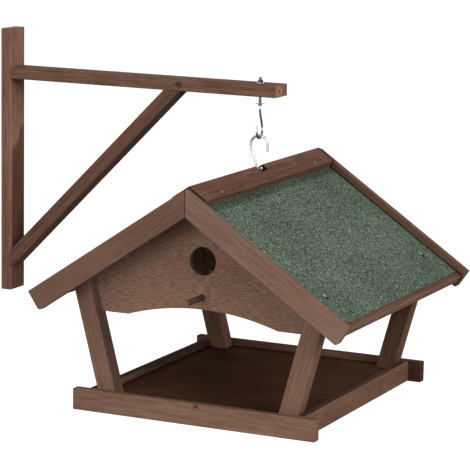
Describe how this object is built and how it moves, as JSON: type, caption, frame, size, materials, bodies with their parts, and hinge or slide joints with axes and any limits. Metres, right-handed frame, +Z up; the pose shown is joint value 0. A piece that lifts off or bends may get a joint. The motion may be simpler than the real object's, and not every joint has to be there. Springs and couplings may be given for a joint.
{
  "type": "bird feeder",
  "caption": "Hanging wooden bird table with a felt-covered pitched roof, open sides and a railed tray, on a wall bracket with a hook and an S hook",
  "frame": {"origin": "On the bracket's wall face, in the middle of the upright's width, level with the underside of the arm", "axes": "+X points away from the wall along the arm, +Y to the back of the bird table, +Z up"},
  "size_m": [0.7065, 0.4936, 0.5477],
  "materials": {
    "stained_timber": "matt red-brown stain",
    "inner_timber": "matt dark stain",
    "green_felt": "mineral granules",
    "zinc_steel": "bright zinc"
  },
  "bodies": {
    "bracket": {"wall_batten": "stained_timber", "bracket_arm": "stained_timber", "brace": "stained_timber", "bracket_screws": "zinc_steel"},
    "hook": {"ceiling_hook": "zinc_steel", "hook_nut": "zinc_steel", "hook_washer": "zinc_steel", "hook_flange": "zinc_steel"},
    "link": {"s_hook": "zinc_steel"},
    "bird_table": {"screw_eye": "zinc_steel", "ridge_beam": "inner_timber", "ridge_cap_left": "stained_timber", "ridge_cap_right": "stained_timber", "cap_nails": "zinc_steel", "roof_board_left": "inner_timber", "roof_board_right": "inner_timber", "roof_felt_left": "green_felt", "roof_felt_right": "green_felt", "roof_nails": "zinc_steel", "barge_front_left": "stained_timber", "barge_front_right": "stained_timber", "barge_back_left": "stained_timber", "barge_back_right": "stained_timber", "barge_brads": "zinc_steel", "eave_board_left": "stained_timber", "eave_board_right": "stained_timber", "eave_brads": "zinc_steel", "gable_front": "stained_timber", "gable_back": "stained_timber", "gable_brads": "zinc_steel", "perch": "stained_timber", "post_front_left": "stained_timber", "post_front_right": "stained_timber", "post_back_left": "stained_timber", "post_back_right": "stained_timber", "post_screws": "zinc_steel", "tray_floor": "inner_timber", "front_rail": "stained_timber", "back_rail": "stained_timber", "left_rail": "stained_timber", "right_rail": "stained_timber", "tray_brads": "zinc_steel"}
  },
  "joints": [
    {"name": "hook_swivel", "type": "hinge", "parent": "bracket", "child": "hook", "pos_m": [0.4458, 0, 0], "axis": [0, 0, 1], "range_deg": [-35, 35]},
    {"name": "s_hook_swing", "type": "hinge", "parent": "hook", "child": "link", "pos_m": [0.4458, 0, -0.0657], "axis": [0, 1, 0], "range_deg": [-12, 6]},
    {"name": "table_swing", "type": "hinge", "parent": "link", "child": "bird_table", "pos_m": [0.4458, 0, -0.1164], "axis": [1, 0, 0], "range_deg": [-8, 8]}
  ]
}
